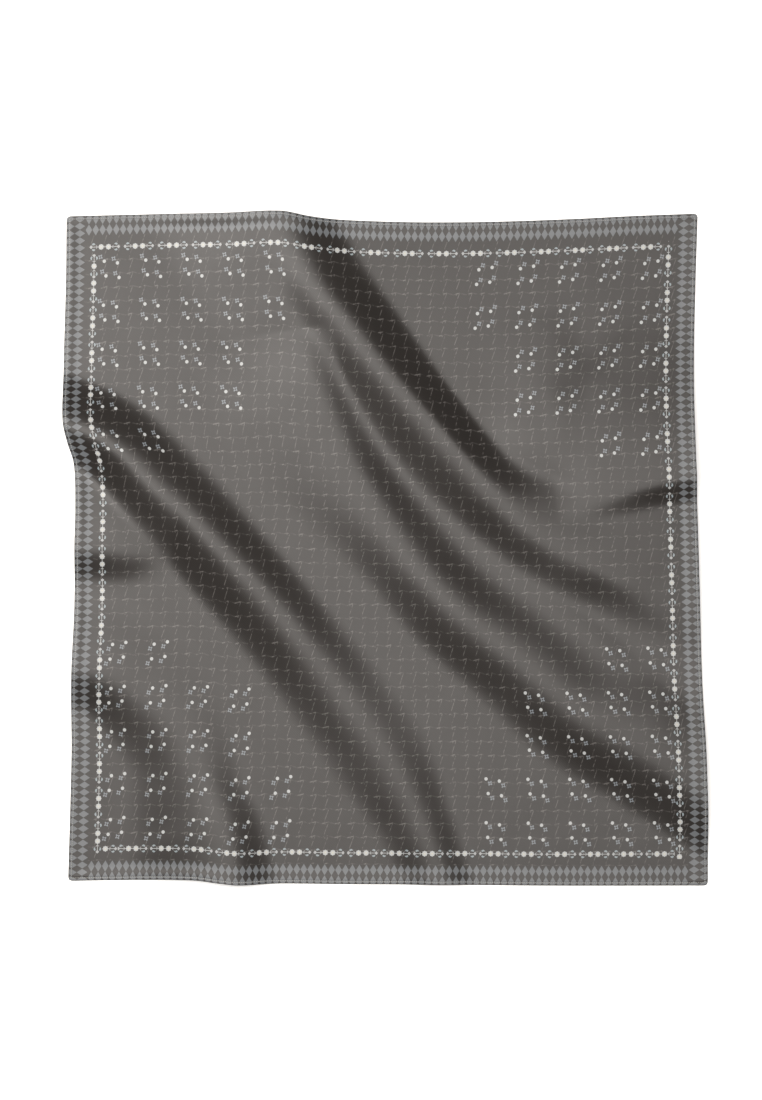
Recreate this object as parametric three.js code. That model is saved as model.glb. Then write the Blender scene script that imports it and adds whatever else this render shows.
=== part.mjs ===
// Square scarf of thin cloth lying on a surface, with soft folds running down from left to right.
// Millimetres, +Z up, +X to the right and +Y to the top edge, seen from above.
import * as THREE from "three";

// Driving dimensions
const clothWidth = 842; // the laid scarf, along X
const clothLength = 884; // the laid scarf, along Y
const clothThickness = 1;
const hemWidth = 5; // the strip turned under along each edge
const hemThickness = 1;
const seatGap = 0.3; // between the cloth and the turned strip, and where two strips meet
const marginRun = 14; // over which the cloth comes down from the strip to the surface
const foldHeight = 22; // a full fold, from the surface to its crest
const foldWidth = 60; // a full fold's side, from its crest to the flat cloth
const edgePull = 10; // how far an edge is drawn out of its straight line
const edgeReach = 0.3; // share of the cloth that a drawn edge takes along
const cornerRound = 6; // how far from its corner the cloth is rounded
const cornerDraw = 0.85; // share of the way to a full round
const cellSize = 20; // facets of the cloth

const stepsPerPoint = 8; // a crest's short straight lengths between two of its points
const nudge = 0.5; // distance between the points that a normal is taken from

const clothColour = 0x6f6b68;
const hemColour = 0x8d8b89;
const clothRoughness = 0.45;

// The crest of each fold, point by point. Across and up are shares of the cloth, height is a share
// of foldHeight, and upper and lower are shares of foldWidth on the crest's two sides: upper lies
// on the left hand when going along the crest.
const folds = {
  main: [
    { across: 0.303, up: 1.08, height: 0.04, upper: 1.2, lower: 0.8 },
    { across: 0.346, up: 0.985, height: 0.08, upper: 1.2, lower: 0.8 },
    { across: 0.389, up: 0.905, height: 0.27, upper: 1.18, lower: 0.85 },
    { across: 0.442, up: 0.84, height: 0.38, upper: 1.1, lower: 0.93 },
    { across: 0.494, up: 0.775, height: 0.47, upper: 1.05, lower: 1.05 },
    { across: 0.575, up: 0.689, height: 0.73, upper: 0.85, lower: 1.3 },
    { across: 0.652, up: 0.603, height: 0.83, upper: 0.9, lower: 1.2 },
    { across: 0.72, up: 0.54, height: 0.78, upper: 1.35, lower: 1.1 },
    { across: 0.79, up: 0.495, height: 0.74, upper: 1.6, lower: 1.1 },
    { across: 0.86, up: 0.465, height: 0.69, upper: 1.85, lower: 1.2 },
    { across: 0.93, up: 0.448, height: 0.59, upper: 2, lower: 1.9 },
    { across: 1, up: 0.44, height: 0.5, upper: 2, lower: 2.8 },
    { across: 1.06, up: 0.435, height: 0.47, upper: 2, lower: 3.2 },
  ],
  topRidge: [
    { across: 0.303, up: 1.08, height: 0.7, upper: 1.22, lower: 3 },
    { across: 0.346, up: 0.985, height: 0.7, upper: 1.22, lower: 2.8 },
    { across: 0.389, up: 0.905, height: 0.6, upper: 1.18, lower: 2.5 },
    { across: 0.442, up: 0.84, height: 0.58, upper: 1.1, lower: 2.3 },
    { across: 0.494, up: 0.775, height: 0.5, upper: 1.05, lower: 2.1 },
    { across: 0.575, up: 0.689, height: 0.2, upper: 0.85, lower: 1.8 },
    { across: 0.652, up: 0.603, height: 0, upper: 0.9, lower: 1.5 },
  ],
  rightRise: [
    { across: 0.62, up: 0.77, height: 0, upper: 5.6, lower: 1.7 },
    { across: 0.68, up: 0.72, height: 0.06, upper: 5.6, lower: 1.7 },
    { across: 0.745, up: 0.66, height: 0.38, upper: 5.6, lower: 1.7 },
    { across: 0.825, up: 0.605, height: 0.43, upper: 5.6, lower: 1.7 },
    { across: 0.9, up: 0.57, height: 0.41, upper: 5.6, lower: 1.7 },
    { across: 0.97, up: 0.555, height: 0.37, upper: 5.6, lower: 1.7 },
    { across: 1.06, up: 0.55, height: 0.35, upper: 5.6, lower: 1.7 },
  ],
  middle: [
    { across: 0.372, up: 0.83, height: 0, upper: 0.75, lower: 2.6 },
    { across: 0.386, up: 0.752, height: 0.41, upper: 0.72, lower: 2.6 },
    { across: 0.438, up: 0.64, height: 0.53, upper: 0.88, lower: 2.1 },
    { across: 0.524, up: 0.507, height: 0.62, upper: 1.08, lower: 1.3 },
    { across: 0.608, up: 0.414, height: 0.76, upper: 1.2, lower: 1.26 },
    { across: 0.71, up: 0.336, height: 0.79, upper: 1.28, lower: 1.36 },
    { across: 0.805, up: 0.257, height: 0.78, upper: 1.4, lower: 1.4 },
    { across: 0.911, up: 0.192, height: 0.73, upper: 1.8, lower: 1.36 },
    { across: 1.04, up: 0.105, height: 0.66, upper: 2.4, lower: 1.2 },
  ],
  shelf: [
    { across: 0.64, up: 0.52, height: 0, upper: 1.2, lower: 1.3 },
    { across: 0.715, up: 0.445, height: 0.14, upper: 1.2, lower: 1.3 },
    { across: 0.78, up: 0.393, height: 0.23, upper: 1.2, lower: 1.3 },
    { across: 0.875, up: 0.314, height: 0.27, upper: 1.3, lower: 1.4 },
    { across: 0.98, up: 0.249, height: 0.26, upper: 1.5, lower: 1.6 },
    { across: 1.06, up: 0.21, height: 0.26, upper: 1.6, lower: 1.7 },
  ],
  left: [
    { across: -0.075, up: 0.715, height: 0.9, upper: 1.1, lower: 0.9 },
    { across: 0.055, up: 0.665, height: 0.91, upper: 1.15, lower: 0.93 },
    { across: 0.146, up: 0.59, height: 0.88, upper: 1.16, lower: 1.08 },
    { across: 0.256, up: 0.485, height: 0.84, upper: 1.06, lower: 1.22 },
    { across: 0.345, up: 0.39, height: 0.72, upper: 1.03, lower: 1.27 },
    { across: 0.43, up: 0.283, height: 0.54, upper: 1.15, lower: 1.28 },
    { across: 0.5, up: 0.187, height: 0.48, upper: 1.15, lower: 1.25 },
    { across: 0.553, up: 0.085, height: 0.4, upper: 0.92, lower: 0.98 },
    { across: 0.598, up: -0.03, height: 0.37, upper: 0.82, lower: 0.86 },
  ],
  corner: [
    { across: -0.075, up: 0.32, height: 0.55, upper: 1.9, lower: 0.95 },
    { across: 0.045, up: 0.318, height: 0.5, upper: 1.8, lower: 1.05 },
    { across: 0.13, up: 0.268, height: 0.42, upper: 1.7, lower: 1.3 },
    { across: 0.182, up: 0.215, height: 0.42, upper: 1.3, lower: 1.5 },
    { across: 0.217, up: 0.14, height: 0.53, upper: 1, lower: 1.9 },
    { across: 0.242, up: 0.075, height: 0.72, upper: 1.15, lower: 2.2 },
    { across: 0.257, up: -0.03, height: 0.82, upper: 1.25, lower: 2.3 },
  ],
  leftRipple: [
    { across: -0.06, up: 0.505, height: 0.5, upper: 2.1, lower: 0.85 },
    { across: 0.035, up: 0.505, height: 0.47, upper: 2.1, lower: 0.85 },
    { across: 0.1, up: 0.502, height: 0.36, upper: 1.9, lower: 0.85 },
    { across: 0.165, up: 0.495, height: 0, upper: 1.6, lower: 0.65 },
  ],
  rightRipple: [
    { across: 0.77, up: 0.568, height: 0, upper: 3, lower: 0.6 },
    { across: 0.835, up: 0.578, height: 0.3, upper: 3.2, lower: 0.65 },
    { across: 0.915, up: 0.6, height: 0.48, upper: 3.5, lower: 0.7 },
    { across: 0.98, up: 0.612, height: 0.57, upper: 3.5, lower: 0.7 },
    { across: 1.06, up: 0.617, height: 0.6, upper: 3.5, lower: 0.7 },
  ],
  uprightRipple: [
    { across: 0.755, up: 0.86, height: 0, upper: 0.8, lower: 1.5 },
    { across: 0.763, up: 0.775, height: 0.14, upper: 0.8, lower: 1.6 },
    { across: 0.763, up: 0.685, height: 0.14, upper: 0.8, lower: 1.6 },
    { across: 0.745, up: 0.605, height: 0, upper: 0.8, lower: 1.5 },
  ],
};

// How each edge leaves its straight line. Along is a share of the edge, from the left or from the
// bottom, and out is a share of edgePull, positive away from the cloth.
const edges = {
  top: [
    { along: 0, out: -0.05 },
    { along: 0.15, out: 0.25 },
    { along: 0.25, out: 0.35 },
    { along: 0.335, out: 0.55 },
    { along: 0.38, out: -0.1 },
    { along: 0.42, out: -0.45 },
    { along: 0.5, out: -0.75 },
    { along: 0.58, out: -0.85 },
    { along: 0.68, out: -0.75 },
    { along: 0.8, out: -0.4 },
    { along: 0.9, out: 0 },
    { along: 1, out: 0.3 },
  ],
  bottom: [
    { along: 0, out: -0.35 },
    { along: 0.12, out: -0.5 },
    { along: 0.2, out: -0.5 },
    { along: 0.24, out: -0.1 },
    { along: 0.27, out: 0.15 },
    { along: 0.33, out: 0 },
    { along: 0.45, out: 0.1 },
    { along: 0.59, out: 0.15 },
    { along: 0.75, out: 0.28 },
    { along: 1, out: 0.27 },
  ],
  left: [
    { along: 0, out: -0.1 },
    { along: 0.1, out: -0.35 },
    { along: 0.2, out: -0.55 },
    { along: 0.27, out: -0.5 },
    { along: 0.33, out: -0.65 },
    { along: 0.4, out: -0.9 },
    { along: 0.5, out: -1 },
    { along: 0.565, out: -1.1 },
    { along: 0.63, out: -0.85 },
    { along: 0.66, out: -0.1 },
    { along: 0.69, out: 0.45 },
    { along: 0.73, out: 0.55 },
    { along: 0.8, out: 0.45 },
    { along: 0.9, out: 0.2 },
    { along: 1, out: 0.1 },
  ],
  right: [
    { along: 0, out: 0.6 },
    { along: 0.1, out: 0.6 },
    { along: 0.15, out: 0.45 },
    { along: 0.2, out: 0.3 },
    { along: 0.3, out: -0.15 },
    { along: 0.4, out: -0.45 },
    { along: 0.5, out: -0.7 },
    { along: 0.6, out: -0.95 },
    { along: 0.66, out: -1.15 },
    { along: 0.75, out: -1.3 },
    { along: 0.85, out: -1.15 },
    { along: 1, out: -0.75 },
  ],
};

// A smooth step from 0 to 1, level at both ends.
function smoothStep(share) {
  return THREE.MathUtils.smoothstep(share, 0, 1);
}

// The crest of a fold as short straight lengths, in millimetres.
function crestLine(points) {
  const spline = (vectors) => new THREE.CatmullRomCurve3(vectors, false, "catmullrom", 0.5);
  const path = spline(
    points.map((p) => new THREE.Vector3(p.across * clothWidth, p.up * clothLength, p.height * foldHeight)),
  );
  const sides = spline(points.map((p) => new THREE.Vector3(p.upper * foldWidth, p.lower * foldWidth, 0)));
  const steps = stepsPerPoint * (points.length - 1);
  return Array.from({ length: steps + 1 }, (_, i) => {
    const crest = path.getPoint(i / steps);
    const side = sides.getPoint(i / steps);
    return { x: crest.x, y: crest.y, height: Math.max(crest.z, 0), upper: side.x, lower: side.y };
  });
}

const crestLines = Object.values(folds).map(crestLine);

// The height that one fold adds at a place: full on its crest, and nothing past its sides.
function foldLift(line, x, y) {
  let nearest = Infinity;
  let lift = 0;
  for (let i = 1; i < line.length; i++) {
    const from = line[i - 1];
    const to = line[i];
    const runX = to.x - from.x;
    const runY = to.y - from.y;
    const reached = ((x - from.x) * runX + (y - from.y) * runY) / (runX * runX + runY * runY);
    const t = THREE.MathUtils.clamp(reached, 0, 1);
    const offX = x - from.x - t * runX;
    const offY = y - from.y - t * runY;
    const distance = Math.hypot(offX, offY);
    if (distance < nearest) {
      nearest = distance;
      const onUpper = runX * offY - runY * offX > 0;
      const side = onUpper ? "upper" : "lower";
      const width = THREE.MathUtils.lerp(from[side], to[side], t);
      const height = THREE.MathUtils.lerp(from.height, to.height, t);
      lift = height * (1 - smoothStep(distance / width));
    }
  }
  return lift;
}

// The draw of an edge at a share of its length, as a smooth curve through the rows of its table.
function edgeOut(rows, share) {
  const s = THREE.MathUtils.clamp(share, 0, 1);
  const last = rows.length - 1;
  const next = Math.max(1, rows.findIndex((row) => row.along >= s));
  const slope = (i) => {
    const before = rows[Math.max(i - 1, 0)];
    const after = rows[Math.min(i + 1, last)];
    return (after.out - before.out) / (after.along - before.along);
  };
  const from = rows[next - 1];
  const to = rows[next];
  const span = to.along - from.along;
  const t = (s - from.along) / span;
  const ease = t * t * (3 - 2 * t);
  const leaving = t * (1 - t) * (1 - t) * span * slope(next - 1);
  const arriving = t * t * (t - 1) * span * slope(next);
  return from.out + (to.out - from.out) * ease + leaving + arriving;
}

// How far a place near a corner moves in from one edge, so that the corner comes out round.
function cornerIn(fromThisEdge, fromOtherEdge) {
  const near = Math.max(1 - fromThisEdge / cornerRound, 0);
  const beside = Math.max(1 - fromOtherEdge / cornerRound, 0);
  return cornerRound * cornerDraw * near * (1 - Math.sqrt(1 - (beside * beside) / 2));
}

// The underside of the cloth at a place given in millimetres from its lower left corner.
function underside(across, up) {
  const u = across / clothWidth;
  const v = up / clothLength;
  const fade = (share) => 1 - smoothStep(share / edgeReach);
  const drawX = edgeOut(edges.right, v) * fade(1 - u) - edgeOut(edges.left, v) * fade(u);
  const drawY = edgeOut(edges.top, u) * fade(1 - v) - edgeOut(edges.bottom, u) * fade(v);
  const fromSide = Math.min(across, clothWidth - across);
  const fromEnd = Math.min(up, clothLength - up);
  const towardsX = Math.sign(clothWidth / 2 - across);
  const towardsY = Math.sign(clothLength / 2 - up);
  const x = across + edgePull * drawX + towardsX * cornerIn(fromSide, fromEnd);
  const y = up + edgePull * drawY + towardsY * cornerIn(fromEnd, fromSide);
  const fromEdge = Math.min(fromSide, fromEnd);
  const margin = 1 - smoothStep((fromEdge - hemWidth) / marginRun);
  const relief = crestLines.reduce((sum, line) => sum + foldLift(line, x, y), 0);
  return new THREE.Vector3(x, y, relief + margin * (hemThickness + seatGap));
}

// The upward normal of the underside.
function undersideNormal(across, up) {
  const alongX = underside(across + nudge, up).sub(underside(across - nudge, up));
  const alongY = underside(across, up + nudge).sub(underside(across, up - nudge));
  return alongX.cross(alongY).normalize();
}

// Places where the cloth's facets meet along one side: the strip's two edges, the foot of the
// margin, and then even cells.
function stations(size) {
  const foot = hemWidth + marginRun;
  const cells = Math.round((size - 2 * foot) / cellSize);
  const inner = Array.from({ length: cells + 1 }, (_, i) => foot + ((size - 2 * foot) * i) / cells);
  return [0, hemWidth, ...inner, size - hemWidth, size];
}

// A closed wall that follows the cloth over a grid of places, between two distances from the
// cloth's underside. The grid runs from the right, so that its facets meet along the folds.
function clothWall(acrossStations, upStations, lowOffset, highOffset) {
  const columns = acrossStations.length - 1;
  const rows = upStations.length - 1;
  const grid = new THREE.PlaneGeometry(columns, rows, columns, rows);
  const layer = grid.attributes.position.count;
  const points = new Float32Array(layer * 2 * 3);
  for (let i = 0; i < layer; i++) {
    const across = acrossStations[Math.round(columns / 2 - grid.attributes.position.getX(i))];
    const up = upStations[Math.round(rows / 2 + grid.attributes.position.getY(i))];
    const foot = underside(across, up);
    const normal = undersideNormal(across, up);
    foot.clone().addScaledVector(normal, lowOffset).toArray(points, i * 3);
    foot.clone().addScaledVector(normal, highOffset).toArray(points, (layer + i) * 3);
  }

  const faces = [];
  const below = grid.index.array;
  for (let i = 0; i < below.length; i += 3) {
    faces.push(below[i], below[i + 1], below[i + 2]);
    faces.push(layer + below[i], layer + below[i + 2], layer + below[i + 1]);
  }
  const corner = (column, row) => row * (columns + 1) + column;
  const rim = [];
  for (let column = 0; column < columns; column++) rim.push(corner(column, 0));
  for (let row = 0; row < rows; row++) rim.push(corner(columns, row));
  for (let column = columns; column > 0; column--) rim.push(corner(column, rows));
  for (let row = rows; row > 0; row--) rim.push(corner(0, row));
  rim.forEach((here, i) => {
    const next = rim[(i + 1) % rim.length];
    faces.push(here, next, layer + next);
    faces.push(here, layer + next, layer + here);
  });

  const wall = new THREE.BufferGeometry();
  wall.setAttribute("position", new THREE.BufferAttribute(points, 3));
  wall.setIndex(faces);
  wall.computeVertexNormals();
  return wall;
}

function addPiece(group, name, geometry, colour) {
  const material = new THREE.MeshStandardMaterial({
    color: colour,
    roughness: clothRoughness,
    metalness: 0,
  });
  const mesh = new THREE.Mesh(geometry, material);
  mesh.name = name;
  group.add(mesh);
}

const acrossStations = stations(clothWidth);
const upStations = stations(clothLength);
const laid = new THREE.Group();

// The folded cloth
addPiece(laid, "cloth_panel", clothWall(acrossStations, upStations, 0, clothThickness), clothColour);

// The turned strips: the top and bottom ones run the whole width, and the side ones fit between.
const strip = (across, up) => clothWall(across, up, -seatGap - hemThickness, -seatGap);
const betweenHems = [
  hemWidth + seatGap,
  ...upStations.slice(2, -2),
  clothLength - hemWidth - seatGap,
];
addPiece(laid, "hem_top", strip(acrossStations, upStations.slice(-2)), hemColour);
addPiece(laid, "hem_bottom", strip(acrossStations, upStations.slice(0, 2)), hemColour);
addPiece(laid, "hem_left", strip(acrossStations.slice(0, 2), betweenHems), hemColour);
addPiece(laid, "hem_right", strip(acrossStations.slice(-2), betweenHems), hemColour);

// The origin is on the surface, below the middle of the scarf.
const box = new THREE.Box3().setFromObject(laid, true);
const middle = box.getCenter(new THREE.Vector3());
laid.position.set(-middle.x, -middle.y, -box.min.z);

const scarf = new THREE.Group();
scarf.add(laid);

export default scarf;
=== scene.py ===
import math
import bmesh
import bpy
import numpy as np
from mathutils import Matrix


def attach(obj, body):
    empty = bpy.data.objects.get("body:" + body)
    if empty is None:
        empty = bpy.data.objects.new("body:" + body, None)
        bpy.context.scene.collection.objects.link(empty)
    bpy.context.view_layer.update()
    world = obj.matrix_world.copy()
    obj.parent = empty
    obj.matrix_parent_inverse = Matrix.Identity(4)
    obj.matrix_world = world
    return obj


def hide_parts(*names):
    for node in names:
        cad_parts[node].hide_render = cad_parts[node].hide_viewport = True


# A square silk twill scarf, printed and hemmed, lying on a pale surface under a large soft light.
# Metres, +Z up; the photograph looks straight down with +Y to its top.

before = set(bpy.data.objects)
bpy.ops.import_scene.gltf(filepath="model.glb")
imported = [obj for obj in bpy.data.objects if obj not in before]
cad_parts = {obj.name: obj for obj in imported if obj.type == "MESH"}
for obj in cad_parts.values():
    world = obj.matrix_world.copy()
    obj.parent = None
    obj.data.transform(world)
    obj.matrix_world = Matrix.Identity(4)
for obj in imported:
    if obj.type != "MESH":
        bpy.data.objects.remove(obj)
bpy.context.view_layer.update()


def linearColour(hexCode):
    # sRGB hex to linear RGBA
    parts = [int(hexCode[i:i + 2], 16) / 255 for i in (0, 2, 4)]
    return [c / 12.92 if c <= 0.04045 else ((c + 0.055) / 1.055) ** 2.4 for c in parts] + [1.0]


def addNode(tree, kind, inputs=(), **settings):
    # inputs are given in order, or by name or number in a dictionary
    node = tree.nodes.new(kind)
    for name, value in settings.items():
        setattr(node, name, value)
    for key, value in inputs.items() if isinstance(inputs, dict) else enumerate(inputs):
        if isinstance(value, bpy.types.Node):
            tree.links.new(value.outputs[0], node.inputs[key])
        elif isinstance(value, bpy.types.NodeSocket):
            tree.links.new(value, node.inputs[key])
        else:
            node.inputs[key].default_value = value
    return node


maths = "ShaderNodeMath"
vectors = "ShaderNodeVectorMath"


# Camera and light

camera = dict(
    height=5.0,
    mmPerPixel=1.325,  # of the 762 x 1100 photograph, on the cloth
    imageHeight=1100,
    aside=(-0.0060, -0.0018),  # the scarf is a little right of and above the middle
    sensor=36.0,
)


def makeCamera():
    seen = camera["mmPerPixel"] * camera["imageHeight"] / 1000
    data = bpy.data.cameras.new("camera")
    data.sensor_width = camera["sensor"]
    data.lens = camera["sensor"] * camera["height"] / seen
    eye = bpy.data.objects.new("camera", data)
    eye.location = (*camera["aside"], camera["height"])
    bpy.context.scene.collection.objects.link(eye)
    bpy.context.scene.camera = eye


light = dict(
    # each softbox: edge length, place above the scarf, and watts; they face straight down
    softboxes={
        "overhead": (2.0, (0.02, 0.02, 2.6), 69),
        "upperLeft": (1.2, (-1.3, 0.55, 2.6), 60),
    },
    lampColour="FFFAF5",
    sky="FFFFFF",
    skyStrength=0.2,
    floorSize=14.0,
    floorColour="FAFAF9",
    floorRoughness=0.9,
    floorGloss=0.0,
    floorGlow=0.3,
)


def makeStage():
    for name, (size, place, watts) in light["softboxes"].items():
        data = bpy.data.lights.new(name, "AREA")
        data.size = size
        data.energy = watts
        data.color = linearColour(light["lampColour"])[:3]
        lamp = bpy.data.objects.new(name, data)
        lamp.location = place
        lamp.visible_camera = False
        bpy.context.scene.collection.objects.link(lamp)

    world = bpy.data.worlds.new("studio")
    world.use_nodes = True
    background = world.node_tree.nodes["Background"]
    background.inputs["Color"].default_value = linearColour(light["sky"])
    background.inputs["Strength"].default_value = light["skyStrength"]
    bpy.context.scene.world = world
    bpy.context.scene.view_settings.view_transform = "Standard"

    half = light["floorSize"] / 2
    mesh = bpy.data.meshes.new("floor")
    corners = [(-half, -half, 0), (half, -half, 0), (half, half, 0), (-half, half, 0)]
    mesh.from_pydata(corners, [], [(0, 1, 2, 3)])
    # rolled paper, even and without gloss, lit a little from below, so that hardly a shadow shows
    material = bpy.data.materials.new("white paper, matt")
    material.use_nodes = True
    shader = material.node_tree.nodes["Principled BSDF"]
    shader.inputs["Base Color"].default_value = linearColour(light["floorColour"])
    shader.inputs["Roughness"].default_value = light["floorRoughness"]
    shader.inputs["Specular IOR Level"].default_value = light["floorGloss"]
    shader.inputs["Emission Color"].default_value = linearColour(light["floorColour"])
    shader.inputs["Emission Strength"].default_value = light["floorGlow"]
    mesh.materials.append(material)
    floor = bpy.data.objects.new("floor", mesh)
    bpy.context.scene.collection.objects.link(floor)


makeCamera()
makeStage()
print("stage: camera, lights and floor")


# The shape of the laid cloth

cloth = dict(
    width=0.842,  # as it lies, along X
    length=0.884,  # as it lies, along Y
    flatWidth=0.84,  # along its folds, as if smoothed out
    flatLength=0.889,
    thickness=0.0005,
    hemWidth=0.005,
    hemThickness=0.001,
    seatGap=0.0003,
    marginRun=0.014,  # over which the cloth comes down from its hem to the surface
    foldHeight=0.022,
    foldWidth=0.06,
    edgePull=0.01,
    edgeReach=0.3,
    cornerRound=0.006,
    cornerDraw=0.85,  # of the way to a full round
    cell=0.0044,
    crestSteps=12,
    nudge=0.0005,  # between the points that a normal is taken from
    grooveDepth=0.00018,  # where the stitches draw the cloth down
    grooveWidth=0.0007,
    turnDepth=0.0001,  # the outermost turn of the cloth, rounded over
    turnWidth=0.0012,
    slackHeight=0.0003,  # long low waves of cloth that doesn't lie quite flat
    slackWaves=(61, 53),  # across and up, radians a metre
    slackBends=(29, 37),
    slackFrom=0.01,  # from the edge, and over how far they grow
    slackRun=0.05,
    outlineSteps=400,  # along each side, to find the outline's middle
    # where the grid's lines lie near an edge, in millimetres: over hem, stitches and margin
    edgeLines=(0, 0.5, 1.2, 2.2, 3.1, 3.55, 3.9, 4.25, 4.8, 6.2, 8.5, 12, 16),
)

stitch = dict(
    inset=0.0039,
    pitch=0.003,
    length=0.0025,
    width=0.0006,
    sides=6,
    rings=4,
)

# Each fold's crest, point by point: across, up, height, and the width of its upper and lower side
folds = {
    "main": [
        (0.303, 1.08, 0.04, 1.2, 0.8),
        (0.346, 0.985, 0.08, 1.2, 0.8),
        (0.389, 0.905, 0.27, 1.18, 0.85),
        (0.442, 0.84, 0.38, 1.1, 0.93),
        (0.494, 0.775, 0.47, 1.05, 1.05),
        (0.575, 0.689, 0.73, 0.85, 1.3),
        (0.652, 0.603, 0.83, 0.9, 1.2),
        (0.72, 0.54, 0.78, 1.35, 1.1),
        (0.79, 0.495, 0.74, 1.6, 1.1),
        (0.86, 0.465, 0.69, 1.85, 1.2),
        (0.93, 0.448, 0.59, 2, 1.9),
        (1, 0.44, 0.5, 2, 2.8),
        (1.06, 0.435, 0.47, 2, 3.2),
    ],
    "topRidge": [
        (0.303, 1.08, 0.7, 1.22, 3),
        (0.346, 0.985, 0.7, 1.22, 2.8),
        (0.389, 0.905, 0.6, 1.18, 2.5),
        (0.442, 0.84, 0.58, 1.1, 2.3),
        (0.494, 0.775, 0.5, 1.05, 2.1),
        (0.575, 0.689, 0.2, 0.85, 1.8),
        (0.652, 0.603, 0, 0.9, 1.5),
    ],
    "rightRise": [
        (0.62, 0.77, 0, 5.6, 1.7),
        (0.68, 0.72, 0.06, 5.6, 1.7),
        (0.745, 0.66, 0.38, 5.6, 1.7),
        (0.825, 0.605, 0.43, 5.6, 1.7),
        (0.9, 0.57, 0.41, 5.6, 1.7),
        (0.97, 0.555, 0.37, 5.6, 1.7),
        (1.06, 0.55, 0.35, 5.6, 1.7),
    ],
    "middle": [
        (0.372, 0.83, 0, 0.75, 2.6),
        (0.386, 0.752, 0.41, 0.72, 2.6),
        (0.438, 0.64, 0.53, 0.88, 2.1),
        (0.524, 0.507, 0.62, 1.08, 1.3),
        (0.608, 0.414, 0.76, 1.2, 1.26),
        (0.71, 0.336, 0.79, 1.28, 1.36),
        (0.805, 0.257, 0.78, 1.4, 1.4),
        (0.911, 0.192, 0.73, 1.8, 1.36),
        (1.04, 0.105, 0.66, 2.4, 1.2),
    ],
    "shelf": [
        (0.64, 0.52, 0, 1.2, 1.3),
        (0.715, 0.445, 0.14, 1.2, 1.3),
        (0.78, 0.393, 0.23, 1.2, 1.3),
        (0.875, 0.314, 0.27, 1.3, 1.4),
        (0.98, 0.249, 0.26, 1.5, 1.6),
        (1.06, 0.21, 0.26, 1.6, 1.7),
    ],
    "left": [
        (-0.075, 0.715, 0.9, 1.1, 0.9),
        (0.055, 0.665, 0.91, 1.15, 0.93),
        (0.146, 0.59, 0.88, 1.16, 1.08),
        (0.256, 0.485, 0.84, 1.06, 1.22),
        (0.345, 0.39, 0.72, 1.03, 1.27),
        (0.43, 0.283, 0.54, 1.15, 1.28),
        (0.5, 0.187, 0.48, 1.15, 1.25),
        (0.553, 0.085, 0.4, 0.92, 0.98),
        (0.598, -0.03, 0.37, 0.82, 0.86),
    ],
    "corner": [
        (-0.075, 0.32, 0.55, 1.9, 0.95),
        (0.045, 0.318, 0.5, 1.8, 1.05),
        (0.13, 0.268, 0.42, 1.7, 1.3),
        (0.182, 0.215, 0.42, 1.3, 1.5),
        (0.217, 0.14, 0.53, 1, 1.9),
        (0.242, 0.075, 0.72, 1.15, 2.2),
        (0.257, -0.03, 0.82, 1.25, 2.3),
    ],
    "leftRipple": [
        (-0.06, 0.505, 0.5, 2.1, 0.85),
        (0.035, 0.505, 0.47, 2.1, 0.85),
        (0.1, 0.502, 0.36, 1.9, 0.85),
        (0.165, 0.495, 0, 1.6, 0.65),
    ],
    "rightRipple": [
        (0.77, 0.568, 0, 3, 0.6),
        (0.835, 0.578, 0.3, 3.2, 0.65),
        (0.915, 0.6, 0.48, 3.5, 0.7),
        (0.98, 0.612, 0.57, 3.5, 0.7),
        (1.06, 0.617, 0.6, 3.5, 0.7),
    ],
    "uprightRipple": [
        (0.755, 0.86, 0, 0.8, 1.5),
        (0.763, 0.775, 0.14, 0.8, 1.6),
        (0.763, 0.685, 0.14, 0.8, 1.6),
        (0.745, 0.605, 0, 0.8, 1.5),
    ],
}

# How far each edge is drawn out: along the edge, and out as a share of edgePull
edges = {
    "top": [
        (0, -0.05), (0.15, 0.25), (0.25, 0.35), (0.335, 0.55), (0.38, -0.1), (0.42, -0.45),
        (0.5, -0.75), (0.58, -0.85), (0.68, -0.75), (0.8, -0.4), (0.9, 0), (1, 0.3),
    ],
    "bottom": [
        (0, -0.35), (0.12, -0.5), (0.2, -0.5), (0.24, -0.1), (0.27, 0.15), (0.33, 0),
        (0.45, 0.1), (0.59, 0.15), (0.75, 0.28), (1, 0.27),
    ],
    "left": [
        (0, -0.1), (0.1, -0.35), (0.2, -0.55), (0.27, -0.5), (0.33, -0.65), (0.4, -0.9), (0.5, -1),
        (0.565, -1.1), (0.63, -0.85), (0.66, -0.1), (0.69, 0.45), (0.73, 0.55), (0.8, 0.45),
        (0.9, 0.2), (1, 0.1),
    ],
    "right": [
        (0, 0.6), (0.1, 0.6), (0.15, 0.45), (0.2, 0.3), (0.3, -0.15), (0.4, -0.45), (0.5, -0.7),
        (0.6, -0.95), (0.66, -1.15), (0.75, -1.3), (0.85, -1.15), (1, -0.75),
    ],
}


def smoothStep(share):
    s = np.clip(share, 0, 1)
    return s * s * (3 - 2 * s)


def crestLine(rows):
    # a Catmull-Rom spline through the rows, as short straight lengths
    scale = [cloth[name] for name in ("width", "length", "foldHeight", "foldWidth", "foldWidth")]
    p = np.array(rows, float) * scale
    p = np.vstack([2 * p[0] - p[1], p, 2 * p[-1] - p[-2]])
    line = []
    for i in range(1, len(p) - 2):
        a, b, c, d = p[i - 1:i + 3]
        for t in np.arange(cloth["crestSteps"]) / cloth["crestSteps"]:
            bend = (c - a) * t
            bend = bend + (2 * a - 5 * b + 4 * c - d) * t ** 2
            bend = bend + (3 * b - a - 3 * c + d) * t ** 3
            line.append(b + bend / 2)
    line = np.array(line + [p[-2]])
    line[:, 2] = np.maximum(line[:, 2], 0)
    return line


crestLines = [crestLine(rows) for rows in folds.values()]


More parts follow.
